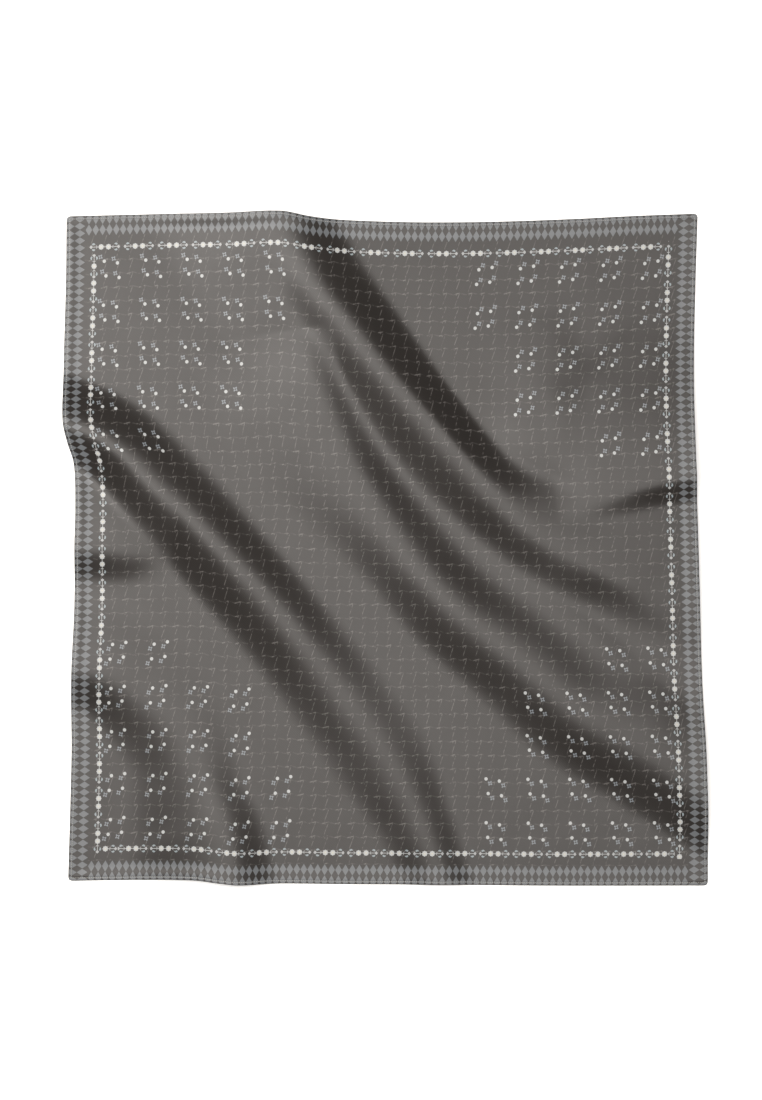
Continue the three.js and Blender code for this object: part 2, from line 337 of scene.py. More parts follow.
def foldLift(line, x, y):
    # full height on the crest and nothing past the sides, from the nearest length of the crest
    nearest = np.full(x.shape, np.inf)
    lift = np.zeros(x.shape)
    for start, end in zip(line[:-1], line[1:]):
        run = end - start
        t = ((x - start[0]) * run[0] + (y - start[1]) * run[1]) / (run[0] ** 2 + run[1] ** 2)
        t = np.clip(t, 0, 1)
        offX = x - start[0] - t * run[0]
        offY = y - start[1] - t * run[1]
        distance = np.hypot(offX, offY)
        onUpper = run[0] * offY - run[1] * offX > 0
        width = np.where(onUpper, start[3] + t * run[3], start[4] + t * run[4])
        here = (start[2] + t * run[2]) * (1 - smoothStep(distance / width))
        closer = distance < nearest
        nearest = np.where(closer, distance, nearest)
        lift = np.where(closer, here, lift)
    return lift


def edgeOut(rows, share):
    # a smooth curve through an edge's rows, at shares of its length
    along, out = np.array(rows, float).T
    s = np.clip(share, 0, 1)
    before = np.maximum(np.arange(len(out)) - 1, 0)
    after = np.minimum(np.arange(len(out)) + 1, len(out) - 1)
    slope = (out[after] - out[before]) / (along[after] - along[before])
    i = np.clip(np.searchsorted(along, s), 1, len(along) - 1)
    span = along[i] - along[i - 1]
    t = (s - along[i - 1]) / span
    ease = t * t * (3 - 2 * t)
    leaving = t * (1 - t) ** 2 * span * slope[i - 1]
    arriving = t * t * (t - 1) * span * slope[i]
    return out[i - 1] + (out[i] - out[i - 1]) * ease + leaving + arriving


def underside(across, up):
    # the cloth's underside at places in metres from its lower left corner
    u = across / cloth["width"]
    v = up / cloth["length"]

    def fade(share):
        return 1 - smoothStep(share / cloth["edgeReach"])

    rightward = edgeOut(edges["right"], v) * fade(1 - u) - edgeOut(edges["left"], v) * fade(u)
    upward = edgeOut(edges["top"], u) * fade(1 - v) - edgeOut(edges["bottom"], u) * fade(v)
    x = across + cloth["edgePull"] * rightward
    y = up + cloth["edgePull"] * upward

    # each corner is drawn in to a round
    fromSide = np.minimum(across, cloth["width"] - across)
    fromEnd = np.minimum(up, cloth["length"] - up)
    inX = np.maximum(1 - fromSide / cloth["cornerRound"], 0)
    inY = np.maximum(1 - fromEnd / cloth["cornerRound"], 0)
    draw = cloth["cornerRound"] * cloth["cornerDraw"]
    x = x + np.sign(cloth["width"] / 2 - across) * draw * inX * (1 - np.sqrt(1 - inY ** 2 / 2))
    y = y + np.sign(cloth["length"] / 2 - up) * draw * inY * (1 - np.sqrt(1 - inX ** 2 / 2))

    # down from the hem to the surface, and up with the folds
    fromEdge = np.minimum(fromSide, fromEnd)
    margin = 1 - smoothStep((fromEdge - cloth["hemWidth"]) / cloth["marginRun"])
    z = margin * (cloth["hemThickness"] + cloth["seatGap"])
    for line in crestLines:
        z = z + foldLift(line, x, y)
    return np.stack([x, y, z], -1)


def undersideNormal(across, up):
    n = cloth["nudge"]
    alongX = underside(across + n, up) - underside(across - n, up)
    alongY = underside(across, up + n) - underside(across, up - n)
    normal = np.cross(alongX, alongY)
    return normal / np.linalg.norm(normal, axis=-1, keepdims=True)


def outlineMiddle():
    # the middle of the outline's box, which comes to stand at the origin
    s = np.linspace(0, 1, cloth["outlineSteps"])
    width = s * cloth["width"]
    length = s * cloth["length"]
    zero = np.zeros_like(s)
    sides = [
        underside(zero, length), underside(zero + cloth["width"], length),
        underside(width, zero), underside(width, zero + cloth["length"]),
    ]
    points = np.vstack(sides)[:, :2]
    return np.append((points.min(0) + points.max(0)) / 2, 0)


middle = outlineMiddle()


def stations(size):
    # close together over the hem and its stitches, then even cells
    near = np.array(cloth["edgeLines"]) / 1000
    count = round((size - 2 * near[-1]) / cloth["cell"])
    inner = np.linspace(near[-1], size - near[-1], count + 1)
    return np.concatenate([near, inner[1:-1], size - near[::-1]])


def makeCloth():
    acrossAt = stations(cloth["width"])
    upAt = stations(cloth["length"])
    across, up = np.meshgrid(acrossAt, upAt)
    points = underside(across, up) - middle

    # the stitched line lies in a shallow groove, and the outer turn is rounded over
    fromEdge = np.minimum(across, cloth["width"] - across)
    fromEdge = np.minimum(fromEdge, np.minimum(up, cloth["length"] - up))
    groove = np.exp(-((fromEdge - stitch["inset"]) / cloth["grooveWidth"]) ** 2)
    points[..., 2] -= cloth["grooveDepth"] * groove
    points[..., 2] -= cloth["turnDepth"] * np.clip(1 - fromEdge / cloth["turnWidth"], 0, 1) ** 2

    # slack in the cloth, none at the hem
    waveX, waveY = cloth["slackWaves"]
    bendX, bendY = cloth["slackBends"]
    inland = smoothStep((fromEdge - cloth["slackFrom"]) / cloth["slackRun"])
    slack = np.sin(across * waveX + np.sin(up * bendY))
    slack = slack * np.sin(up * waveY + np.sin(across * bendX))
    points[..., 2] += cloth["slackHeight"] * inland * (1 + slack) / 2

    # the print's own coordinates: how far along the cloth itself a place is
    def share(axis):
        step = np.linalg.norm(np.diff(points, axis=axis), axis=-1)
        pad = [(0, 0), (0, 0)]
        pad[axis] = (1, 0)
        along = np.pad(np.cumsum(step, axis=axis), pad)
        return along / along.max(axis=axis, keepdims=True), along.max(axis=axis).mean()

    u, meanWidth = share(1)
    v, meanLength = share(0)
    print("cloth measures", round(meanWidth, 4), "x", round(meanLength, 4), "m along its folds")

    rows, columns = u.shape
    index = np.arange(rows * columns).reshape(rows, columns)
    quads = np.stack([index[:-1, :-1], index[:-1, 1:], index[1:, 1:], index[1:, :-1]], -1)
    quads = quads.reshape(-1, 4)
    mesh = bpy.data.meshes.new("scarf_cloth")
    mesh.from_pydata(points.reshape(-1, 3).tolist(), [], quads.tolist())
    layer = mesh.uv_layers.new(name="print")
    uv = np.stack([u.ravel(), v.ravel()], -1)[quads.ravel()]
    layer.data.foreach_set("uv", uv.ravel())
    mesh.polygons.foreach_set("use_smooth", [True] * len(quads))
    mesh.update()

    piece = bpy.data.objects.new("scarf_cloth", mesh)
    bpy.context.scene.collection.objects.link(piece)
    wall = piece.modifiers.new("wall", "SOLIDIFY")
    wall.thickness = cloth["thickness"]
    wall.offset = 1.0  # the whole thickness goes upwards
    return piece


scarf = makeCloth()
print("cloth:", len(scarf.data.polygons), "faces")


# The turned hems, under the cloth's margin

hem = dict(
    # round the rolled strip: distance from its outer edge and depth, as shares
    section=[
        (0.04, 0), (0, 0.5), (0.04, 1), (0.12, 1), (0.9, 1), (0.985, 0.9), (1, 0.5),
        (0.985, 0.1), (0.9, 0), (0.12, 0),
    ],
    step=0.0044,
    seat=0.00006,  # left between the cloth and the strip
)


def makeHem(side):
    alongX = side in ("top", "bottom")
    size = cloth["width"] if alongX else cloth["length"]
    other = cloth["length"] if alongX else cloth["width"]
    inset = 0 if alongX else cloth["hemWidth"] + cloth["seatGap"]
    along = np.linspace(inset, size - inset, round((size - 2 * inset) / hem["step"]) + 1)
    section = np.array(hem["section"])
    a = np.repeat(along[:, None], len(section), 1)
    b = np.repeat(section[None, :, 0] * cloth["hemWidth"], len(along), 0)
    if side in ("top", "right"):
        b = other - b
    lowest = cloth["hemThickness"] + cloth["seatGap"]
    depth = hem["seat"] + section[None, :, 1] * (lowest - hem["seat"])
    across, up = (a, b) if alongX else (b, a)
    points = underside(across, up) - undersideNormal(across, up) * depth[..., None] - middle

    # a ring of points at each step along the hem, closed at both ends
    count = len(section)
    ring = np.arange(count)
    faces = []
    for start in range(0, (len(along) - 1) * count, count):
        for j in ring:
            k = (j + 1) % count
            faces.append((start + j, start + k, start + count + k, start + count + j))
    faces.append(tuple(ring[::-1]))
    faces.append(tuple((len(along) - 1) * count + ring))
    mesh = bpy.data.meshes.new("hem_roll_" + side)
    faces = [tuple(int(i) for i in face) for face in faces]
    mesh.from_pydata(points.reshape(-1, 3).tolist(), [], faces)
    shape = bmesh.new()
    shape.from_mesh(mesh)
    bmesh.ops.recalc_face_normals(shape, faces=shape.faces)
    shape.to_mesh(mesh)
    shape.free()
    mesh.polygons.foreach_set("use_smooth", [True] * len(faces))

    layer = mesh.uv_layers.new(name="print")
    shares = np.stack([across / cloth["width"], up / cloth["length"]], -1).reshape(-1, 2)
    corner = np.empty(len(mesh.loops), int)
    mesh.loops.foreach_get("vertex_index", corner)
    layer.data.foreach_set("uv", shares[corner].ravel())
    mesh.update()
    piece = bpy.data.objects.new("hem_roll_" + side, mesh)
    bpy.context.scene.collection.objects.link(piece)
    return piece


hems = {side: makeHem(side) for side in ("top", "right", "bottom", "left")}
print("hems:", len(hems))


# The machine stitches that hold the hems down

def stitchTree(material):
    # a stitch every pitch along a path, each a small spindle lying on the cloth
    tree = bpy.data.node_groups.new("hemStitches", "GeometryNodeTree")
    sockets = {"Path": "NodeSocketGeometry"}
    sockets.update({name: "NodeSocketFloat" for name in ("Pitch", "Length", "Width")})
    sockets.update({name: "NodeSocketInt" for name in ("Sides", "Rings")})
    for name, kind in sockets.items():
        tree.interface.new_socket(name, in_out="INPUT", socket_type=kind)
    tree.interface.new_socket("Stitches", in_out="OUTPUT", socket_type="NodeSocketGeometry")
    given = addNode(tree, "NodeGroupInput")
    path = addNode(tree, "GeometryNodeMeshToCurve", {"Mesh": given.outputs["Path"]})
    places = addNode(
        tree,
        "GeometryNodeCurveToPoints",
        {"Curve": path, "Length": given.outputs["Pitch"]},
        mode="LENGTH",
    )
    ball = addNode(
        tree,
        "GeometryNodeMeshUVSphere",
        {"Segments": given.outputs["Sides"], "Rings": given.outputs["Rings"], "Radius": 1 / 2},
    )
    width, length = given.outputs["Width"], given.outputs["Length"]
    size = addNode(tree, "ShaderNodeCombineXYZ", [width, width, length])
    ballInputs = {"Geometry": ball.outputs["Mesh"], "Scale": size}
    spindle = addNode(tree, "GeometryNodeTransform", ballInputs)
    laid = addNode(
        tree,
        "GeometryNodeInstanceOnPoints",
        {"Points": places, "Instance": spindle, "Rotation": places.outputs["Rotation"]},
    )
    real = addNode(tree, "GeometryNodeRealizeInstances", {"Geometry": laid})
    finished = addNode(tree, "GeometryNodeSetMaterial", {"Geometry": real, "Material": material})
    addNode(tree, "NodeGroupOutput", {"Stitches": finished})
    return tree


def makeStitches(material):
    # one closed path round the scarf, on the bottom of the groove
    inset = stitch["inset"]
    steps = [round(cloth[side] / stitch["pitch"]) for side in ("width", "length")]
    acrossRun = np.linspace(inset, cloth["width"] - inset, steps[0])[:-1]
    upRun = np.linspace(inset, cloth["length"] - inset, steps[1])[:-1]
    right = np.full(len(upRun), cloth["width"] - inset)
    top = np.full(len(acrossRun), cloth["length"] - inset)
    left = np.full(len(upRun), inset)
    bottom = np.full(len(acrossRun), inset)
    across = np.concatenate([acrossRun, right, cloth["width"] - acrossRun, left])
    up = np.concatenate([bottom, upRun, top, cloth["length"] - upRun])
    height = cloth["thickness"] - cloth["grooveDepth"]
    points = underside(across, up) + undersideNormal(across, up) * height - middle
    count = len(points)
    mesh = bpy.data.meshes.new("hem_stitches")
    mesh.from_pydata(points.tolist(), [(i, (i + 1) % count) for i in range(count)], [])
    path = bpy.data.objects.new("stitch_path", mesh)
    bpy.context.scene.collection.objects.link(path)

    sewing = path.modifiers.new("sewing", "NODES")
    sewing.node_group = stitchTree(material)
    for item in sewing.node_group.interface.items_tree:
        if item.item_type == "SOCKET" and item.in_out == "INPUT" and item.name.lower() in stitch:
            sewing[item.identifier] = stitch[item.name.lower()]
    seen = path.evaluated_get(bpy.context.evaluated_depsgraph_get())
    sewn = bpy.data.meshes.new_from_object(seen)
    sewn.name = "hem_stitches"
    sewn.polygons.foreach_set("use_smooth", [True] * len(sewn.polygons))
    piece = bpy.data.objects.new("hem_stitches", sewn)
    bpy.context.scene.collection.objects.link(piece)
    bpy.data.objects.remove(path)
    return piece


# The print

printing = dict(
    art=900.0,  # millimetres along each side of the printed square
    rim=0.6,  # left plain at the very edge
    # harlequin border
    diamondPitch=9.7256,
    diamondWidth=9.3,
    diamondRow=15.1,
    diamondFirst=3.9,
    diamondStart=(31.8, 1.4),  # the first whole one along the top and bottom, and up the sides
    border=26.5,
    # lattice of brushed strokes, in shares of a cell: a dash along the right part of its top, a
    # fainter rest, and a lean that runs down from the dash's end
    latticeCell=(18.06, 18.5),
    latticeFirst=(4.9, 9.2),
    latticeTuck=0.3,  # the level strokes' own cells begin this far below the crossing
    dashFrom=0.5,
    dashRise=0.24,
    dashHalf=0.045,
    leanTo=0.85,
    leanSlope=0.36,
    leanHalf=0.033,
    leanShare=0.85,  # of the dash's strength
    faintShare=0.3,
    wearSize=5.0,  # of the brush's breaks along a stroke
    wearRange=(0.35, 0.62),
    tickAt=(0.74, -0.15),
    tickRadius=0.055,
    tickShare=0.6,
    # chain of daisies and rosettes: how far in its columns and rows run, and first pair and period
    chainColumn=39.6,
    chainRow=42.1,
    chainTop=(54.6, 48.44),
    chainBottom=(41.9, 46.6),
    chainLeft=(57.75, 46.67),
    chainRight=(33.0, 47.37),
    # a lone daisy between two rosettes makes up the length near two corners
    loneLevel=(50.8, 68.0),  # on the bottom row: its place, and where the pairs begin
    loneUpright=(832.4, 815.0),  # in the left column: its place, and where the pairs end
    chainReach=6.8,  # from the chain's line
    daisyAt=5.25,
    daisyRadius=3.95,
    daisyScallop=0.3,
    daisyPetals=8,
    daisyHeart=1.3,
    rosetteAt=15.9,
    rosetteRadius=5.3,
    rosetteLobe=0.5,
    rosetteHole=3.1,
    rosettePetals=4,
    rosetteTuck=1.2,  # its hole lies nearer to the daisy, so that the outer petal is thicker
    rosetteGap=1.1,  # between two petals
    threadHalf=0.35,
    threadEnd=21.6,  # from the middle of the pair
    # sprigs in fours: a dot with a small flower towards the nearest corner
    sprigFirst=(64.8, 72.6),
    sprigPitch=59.0,
    sprigCounts=(5, 5, 4, 4, 2, 0),  # clusters in each row from the edge inwards
    dotAt=(9.35, 9.85),
    dotLean=1.35,
    dotRadius=2.35,
    flowerShift=(-5.5, -5.9),
    flowerRadius=3.6,
    flowerPetals=4,
    flowerLobe=0.9,
    flowerTurn=0.8,
    flowerHole=1.1,
    # dyes
    taupe="252220",
    diamond="5D6063",
    stroke="555250",
    white="A1A3A3",
    cream="ADAAA0",
    petal="929495",
    blue="7F888C",
    flower="70757A",
    # twill ribs: about 0.35 mm apart on real silk twill, drawn 2.4 mm apart so that they show
    ribPitch=2.4,
    ribShade=0.07,
    ribDepth=0.00003,
    ribWander=1.2,
    # slow change of dye and gloss over the square
    cloudSize=70.0,
    cloudDetail=3.0,
    cloudShade=0.06,
    roughness=0.32,
    roughnessChange=0.05,
    gloss=0.31,
)


def sprigOffset(tree, fromEdge, shift):
    # from the nearest of the four places of a sprig's cluster, and the number of that cluster
    p = printing
    first = [p["sprigFirst"][i] - p["sprigPitch"] / 2 + shift[i] for i in (0, 1)]
    moved = addNode(tree, vectors, [fromEdge, (*first, 0)], operation="SUBTRACT")
    cells = addNode(tree, vectors, [moved, (p["sprigPitch"],) * 3], operation="DIVIDE")
    number = addNode(tree, vectors, [cells], operation="FLOOR")
    inCell = addNode(tree, vectors, [cells], operation="FRACTION")
    centred = addNode(tree, vectors, [inCell, (0.5, 0.5, 0)], operation="SUBTRACT")
    local = addNode(tree, vectors, [centred, (p["sprigPitch"],) * 3], operation="MULTIPLY")
    parts = addNode(tree, "ShaderNodeSeparateXYZ", [local])
    signX = addNode(tree, maths, [parts.outputs[0]], operation="SIGN")
    signY = addNode(tree, maths, [parts.outputs[1]], operation="SIGN")
    leanX = addNode(tree, maths, [signY, p["dotLean"]], operation="MULTIPLY")
    leanY = addNode(tree, maths, [signX, p["dotLean"]], operation="MULTIPLY")
    dotX = addNode(tree, maths, [signX, p["dotAt"][0], leanX], operation="MULTIPLY_ADD")
    dotY = addNode(tree, maths, [signY, p["dotAt"][1], leanY], operation="MULTIPLY_ADD")
    place = addNode(tree, "ShaderNodeCombineXYZ", [dotX, dotY])
    return addNode(tree, vectors, [local, place], operation="SUBTRACT"), number


def sprigAllowed(tree, number):
    # 1 where a row has a cluster of that number; half a step tells two whole numbers apart
    parts = addNode(tree, "ShaderNodeSeparateXYZ", [number])
    column, row = parts.outputs[0], parts.outputs[1]
    counts = printing["sprigCounts"]
    halfStep = 0.5
    most = counts[0]
    for i in range(1, len(counts)):
        reached = addNode(tree, maths, [row, i - halfStep], operation="GREATER_THAN")
        inputs = [reached, counts[i] - counts[i - 1], most]
        most = addNode(tree, maths, inputs, operation="MULTIPLY_ADD")
    fromFirst = addNode(tree, maths, [column, halfStep], operation="ADD")
    short = addNode(tree, maths, [fromFirst, most], operation="LESS_THAN")
    lowest = addNode(tree, maths, [column, row], operation="MINIMUM")
    inside = addNode(tree, maths, [lowest, -halfStep], operation="GREATER_THAN")
    return addNode(tree, maths, [short, inside], operation="MULTIPLY")


def lobedRound(tree, offset, radius, lobe, count, phase=0.0):
    # 1 inside a round outline with so many lobes, and the distance from its middle
    parts = addNode(tree, "ShaderNodeSeparateXYZ", [offset])
    turn = addNode(tree, maths, [parts.outputs[1], parts.outputs[0]], operation="ARCTAN2")
    turns = addNode(tree, maths, [turn, count, phase], operation="MULTIPLY_ADD")
    wave = addNode(tree, maths, [turns], operation="COSINE")
    outline = addNode(tree, maths, [wave, lobe, radius - lobe], operation="MULTIPLY_ADD")
    distance = addNode(tree, vectors, [offset], operation="LENGTH").outputs["Value"]
    return addNode(tree, maths, [distance, outline], operation="LESS_THAN"), distance


def chainPart(tree, place, fromEdge):
    # along the chain from the middle of the nearest pair of daisies, and across it
    p = printing
    at = addNode(tree, "ShaderNodeSeparateXYZ", [place])
    near = addNode(tree, "ShaderNodeSeparateXYZ", [fromEdge])
    onRight = addNode(tree, maths, [at.outputs[0], p["art"] / 2], operation="GREATER_THAN")
    onTop = addNode(tree, maths, [at.outputs[1], p["art"] / 2], operation="GREATER_THAN")

    # the corners belong to the columns, but the top left one belongs to its row
    columnEnd = p["chainColumn"] + p["chainReach"]
    inColumn = addNode(tree, maths, [near.outputs[0], columnEnd], operation="LESS_THAN")
    rowTop = p["art"] - p["chainRow"] - p["chainReach"]
    inTopRow = addNode(tree, maths, [at.outputs[1], rowTop], operation="GREATER_THAN")
    topLeft = addNode(tree, maths, [inTopRow, onRight], operation="GREATER_THAN")
    onSide = addNode(tree, maths, [inColumn, topLeft], operation="GREATER_THAN")
    run = addNode(tree, "ShaderNodeMix", {0: onSide, 2: at.outputs[0], 3: at.outputs[1]})

    firstAndPeriod = []
    sides = zip(p["chainBottom"], p["chainTop"], p["chainLeft"], p["chainRight"])
    for bottom, top, left, right in sides:
        level = addNode(tree, "ShaderNodeMix", {0: onTop, 2: bottom, 3: top})
        upright = addNode(tree, "ShaderNodeMix", {0: onRight, 2: left, 3: right})
        firstAndPeriod.append(addNode(tree, "ShaderNodeMix", {0: onSide, 2: level, 3: upright}))
    first, period = firstAndPeriod
    moved = addNode(tree, maths, [run, first], operation="SUBTRACT")
    half = addNode(tree, maths, [period, 0.5], operation="MULTIPLY")
    paired = addNode(tree, maths, [moved, half], operation="PINGPONG")

    # the lone daisies
    levelAt, levelEnd = p["loneLevel"]
    uprightAt, uprightEnd = p["loneUpright"]
    loneAt = addNode(tree, "ShaderNodeMix", {0: onSide, 2: levelAt, 3: uprightAt})
    fromLone = addNode(tree, maths, [run, loneAt], operation="SUBTRACT")
    fromLone = addNode(tree, maths, [fromLone], operation="ABSOLUTE")
    lone = addNode(tree, maths, [fromLone, p["daisyAt"]], operation="ADD")
    lowLeft = addNode(tree, maths, [at.outputs[0], levelEnd], operation="LESS_THAN")
    lowLeft = addNode(tree, maths, [lowLeft, onTop], operation="GREATER_THAN")
    highLeft = addNode(tree, maths, [at.outputs[1], uprightEnd], operation="GREATER_THAN")
    highLeft = addNode(tree, maths, [highLeft, onRight], operation="GREATER_THAN")
    isLone = addNode(tree, "ShaderNodeMix", {0: onSide, 2: lowLeft, 3: highLeft})
    along = addNode(tree, "ShaderNodeMix", {0: isLone, 2: paired, 3: lone})

    lines = (p["chainColumn"], p["chainRow"], 0)
    fromLine = addNode(tree, vectors, [fromEdge, lines], operation="SUBTRACT")
    fromLine = addNode(tree, "ShaderNodeSeparateXYZ", [fromLine])
    inX, inY = fromLine.outputs[0], fromLine.outputs[1]
    across = addNode(tree, "ShaderNodeMix", {0: onSide, 2: inY, 3: inX})

    # the rows end at the columns and the columns at the rows
    before = addNode(tree, "ShaderNodeMix", {0: onSide, 2: inX, 3: inY})
    outside = addNode(tree, maths, [before, -p["chainReach"]], operation="LESS_THAN")
    across = addNode(tree, "ShaderNodeMix", {0: outside, 2: across, 3: p["art"]})
    return along, across


def latticeMask(tree, place):
    # strength of the lattice's strokes, from 0 to 1
    p = printing
    moved = addNode(tree, vectors, [place, (*p["latticeFirst"], 0)], operation="SUBTRACT")
    cells = addNode(tree, vectors, [moved, (*p["latticeCell"], 1)], operation="DIVIDE")
    shifted = addNode(tree, vectors, [cells, (0, p["latticeTuck"], 0)], operation="ADD")
    inCell = addNode(tree, vectors, [shifted], operation="FRACTION")
    inCell = addNode(tree, "ShaderNodeSeparateXYZ", [inCell])
    across = inCell.outputs[0]  # 1 at the crossing
    above = addNode(tree, maths, [inCell.outputs[1], p["latticeTuck"]], operation="SUBTRACT")

    # the dash and the fainter rest of the level stroke
    onDash = addNode(tree, maths, [across, p["dashFrom"]], operation="GREATER_THAN")
    rise = addNode(tree, maths, [across, p["dashRise"], -p["dashRise"]], operation="MULTIPLY_ADD")
    rest = addNode(tree, maths, [across, -p["dashRise"]], operation="MULTIPLY")
    middleLine = addNode(tree, "ShaderNodeMix", {0: onDash, 2: rest, 3: rise})
    off = addNode(tree, maths, [above, middleLine], operation="SUBTRACT")
    off = addNode(tree, maths, [off], operation="ABSOLUTE")
    level = addNode(tree, maths, [off, p["dashHalf"]], operation="LESS_THAN")
    strength = addNode(tree, maths, [onDash, p["faintShare"]], operation="MAXIMUM")
    level = addNode(tree, maths, [level, strength], operation="MULTIPLY")

    # the lean below the crossing and the fainter straight rest of the upright stroke
    upFraction = addNode(tree, vectors, [cells], operation="FRACTION")
    upFraction = addNode(tree, "ShaderNodeSeparateXYZ", [upFraction])
    below = addNode(tree, maths, [1.0, upFraction.outputs[1]], operation="SUBTRACT")
    leaning = addNode(tree, maths, [below, p["leanTo"]], operation="MINIMUM")
    onLean = addNode(tree, maths, [below, p["leanTo"]], operation="LESS_THAN")
    line = addNode(tree, maths, [leaning, -p["leanSlope"], 1.0], operation="MULTIPLY_ADD")
    off = addNode(tree, maths, [across, line], operation="SUBTRACT")
    off = addNode(tree, maths, [off], operation="ABSOLUTE")
    upright = addNode(tree, maths, [off, p["leanHalf"]], operation="LESS_THAN")
    strength = addNode(tree, "ShaderNodeMix", {0: onLean, 2: p["faintShare"], 3: p["leanShare"]})
    upright = addNode(tree, maths, [upright, strength], operation="MULTIPLY")

    # a small tick inside the crossing
    tickX = addNode(tree, maths, [across, p["tickAt"][0]], operation="SUBTRACT")
    tickY = addNode(tree, maths, [above, p["tickAt"][1]], operation="SUBTRACT")
    offset = addNode(tree, "ShaderNodeCombineXYZ", [tickX, tickY])
    distance = addNode(tree, vectors, [offset], operation="LENGTH").outputs["Value"]
    tick = addNode(tree, maths, [distance, p["tickRadius"]], operation="LESS_THAN")
    tick = addNode(tree, maths, [tick, p["tickShare"]], operation="MULTIPLY")
    strokes = addNode(tree, maths, [level, upright], operation="MAXIMUM")
    strokes = addNode(tree, maths, [strokes, tick], operation="MAXIMUM")

    # the brush's breaks
    wear = addNode(tree, "ShaderNodeTexNoise", {"Vector": place, "Scale": 1 / p["wearSize"]})
    kept = addNode(
        tree,
        "ShaderNodeMapRange",
        [wear.outputs["Fac"], *p["wearRange"]],
        interpolation_type="SMOOTHSTEP",
    )
    return addNode(tree, maths, [strokes, kept], operation="MULTIPLY")


def diamondMask(tree, place, near, nearest):
    # harlequin border, two rows deep; the side columns run the whole height
    p = printing
    onSide = addNode(tree, maths, [near.outputs[0], p["border"]], operation="LESS_THAN")
    depth = addNode(tree, "ShaderNodeMix", {0: onSide, 2: near.outputs[1], 3: near.outputs[0]})
    runs = addNode(tree, vectors, [place, (*p["diamondStart"], 0)], operation="SUBTRACT")
    runs = addNode(tree, "ShaderNodeSeparateXYZ", [runs])
    run = addNode(tree, "ShaderNodeMix", {0: onSide, 2: runs.outputs[0], 3: runs.outputs[1]})
    sideways = addNode(tree, maths, [run, p["diamondPitch"] / 2], operation="PINGPONG")
    inward = addNode(tree, maths, [depth, p["diamondFirst"]], operation="SUBTRACT")
    inward = addNode(tree, maths, [inward, p["diamondRow"] / 2], operation="PINGPONG")
    inward = addNode(tree, maths, [inward, p["diamondRow"] / 2], operation="DIVIDE")
    inputs = [sideways, 2 / p["diamondWidth"], inward]
    reach = addNode(tree, maths, inputs, operation="MULTIPLY_ADD")
    diamonds = addNode(tree, maths, [reach, 1.0], operation="LESS_THAN")
    inBorder = addNode(tree, maths, [depth, p["border"]], operation="LESS_THAN")
    offRim = addNode(tree, maths, [nearest, p["rim"]], operation="GREATER_THAN")
    diamonds = addNode(tree, maths, [diamonds, inBorder], operation="MULTIPLY")
    return addNode(tree, maths, [diamonds, offRim], operation="MULTIPLY")


def chainLayers(tree, place, fromEdge):
    # a thin thread, rosettes with two pale and two bluish petals, and daisies
    p = printing
    along, across = chainPart(tree, place, fromEdge)
    away = addNode(tree, maths, [across], operation="ABSOLUTE")
    onThread = addNode(tree, maths, [away, p["threadHalf"]], operation="LESS_THAN")
    threadEnd = addNode(tree, maths, [along, p["threadEnd"]], operation="LESS_THAN")
    thread = addNode(tree, maths, [onThread, threadEnd], operation="MULTIPLY")

    fromRosette = addNode(tree, maths, [along, p["rosetteAt"]], operation="SUBTRACT")
    rosette = addNode(tree, "ShaderNodeCombineXYZ", [fromRosette, across])
    size = (p["rosetteRadius"], p["rosetteLobe"], p["rosettePetals"])
    petals = lobedRound(tree, rosette, *size)[0]
    holeAt = addNode(tree, vectors, [rosette, (p["rosetteTuck"], 0, 0)], operation="ADD")
    fromHole = addNode(tree, vectors, [holeAt], operation="LENGTH").outputs["Value"]
    hollow = addNode(tree, maths, [fromHole, p["rosetteHole"]], operation="GREATER_THAN")
    petals = addNode(tree, maths, [petals, hollow], operation="MULTIPLY")
    beside = addNode(tree, maths, [fromRosette], operation="ABSOLUTE")
    isAcross = addNode(tree, maths, [away, beside], operation="GREATER_THAN")
    fromGap = addNode(tree, maths, [away, beside], operation="SUBTRACT")
    fromGap = addNode(tree, maths, [fromGap], operation="ABSOLUTE")
    offGap = addNode(tree, maths, [fromGap, p["rosetteGap"]], operation="GREATER_THAN")
    petals = addNode(tree, maths, [petals, offGap], operation="MULTIPLY")
    bluish = addNode(tree, maths, [petals, isAcross], operation="MULTIPLY")

    fromDaisy = addNode(tree, maths, [along, p["daisyAt"]], operation="SUBTRACT")
    daisy = addNode(tree, "ShaderNodeCombineXYZ", [fromDaisy, across])
    size = (p["daisyRadius"], p["daisyScallop"], p["daisyPetals"])
    flower, distance = lobedRound(tree, daisy, *size)
    heart = addNode(tree, maths, [distance, p["daisyHeart"]], operation="LESS_THAN")
    return [
        (thread, p["white"]),
        (petals, p["petal"]),
        (bluish, p["blue"]),
        (flower, p["white"]),
        (heart, p["cream"]),
    ]


def sprigLayers(tree, fromEdge):
    p = printing
    offset, number = sprigOffset(tree, fromEdge, p["flowerShift"])
    size = (p["flowerRadius"], p["flowerLobe"], p["flowerPetals"])
    flower, distance = lobedRound(tree, offset, *size, math.pi + p["flowerTurn"])
    hollow = addNode(tree, maths, [distance, p["flowerHole"]], operation="GREATER_THAN")
    flower = addNode(tree, maths, [flower, hollow], operation="MULTIPLY")
    allowed = sprigAllowed(tree, number)
    flower = addNode(tree, maths, [flower, allowed], operation="MULTIPLY")

    offset, number = sprigOffset(tree, fromEdge, (0, 0))
    distance = addNode(tree, vectors, [offset], operation="LENGTH").outputs["Value"]
    dot = addNode(tree, maths, [distance, p["dotRadius"]], operation="LESS_THAN")
    allowed = sprigAllowed(tree, number)
    dot = addNode(tree, maths, [dot, allowed], operation="MULTIPLY")
    return [(flower, p["flower"]), (dot, p["white"])]


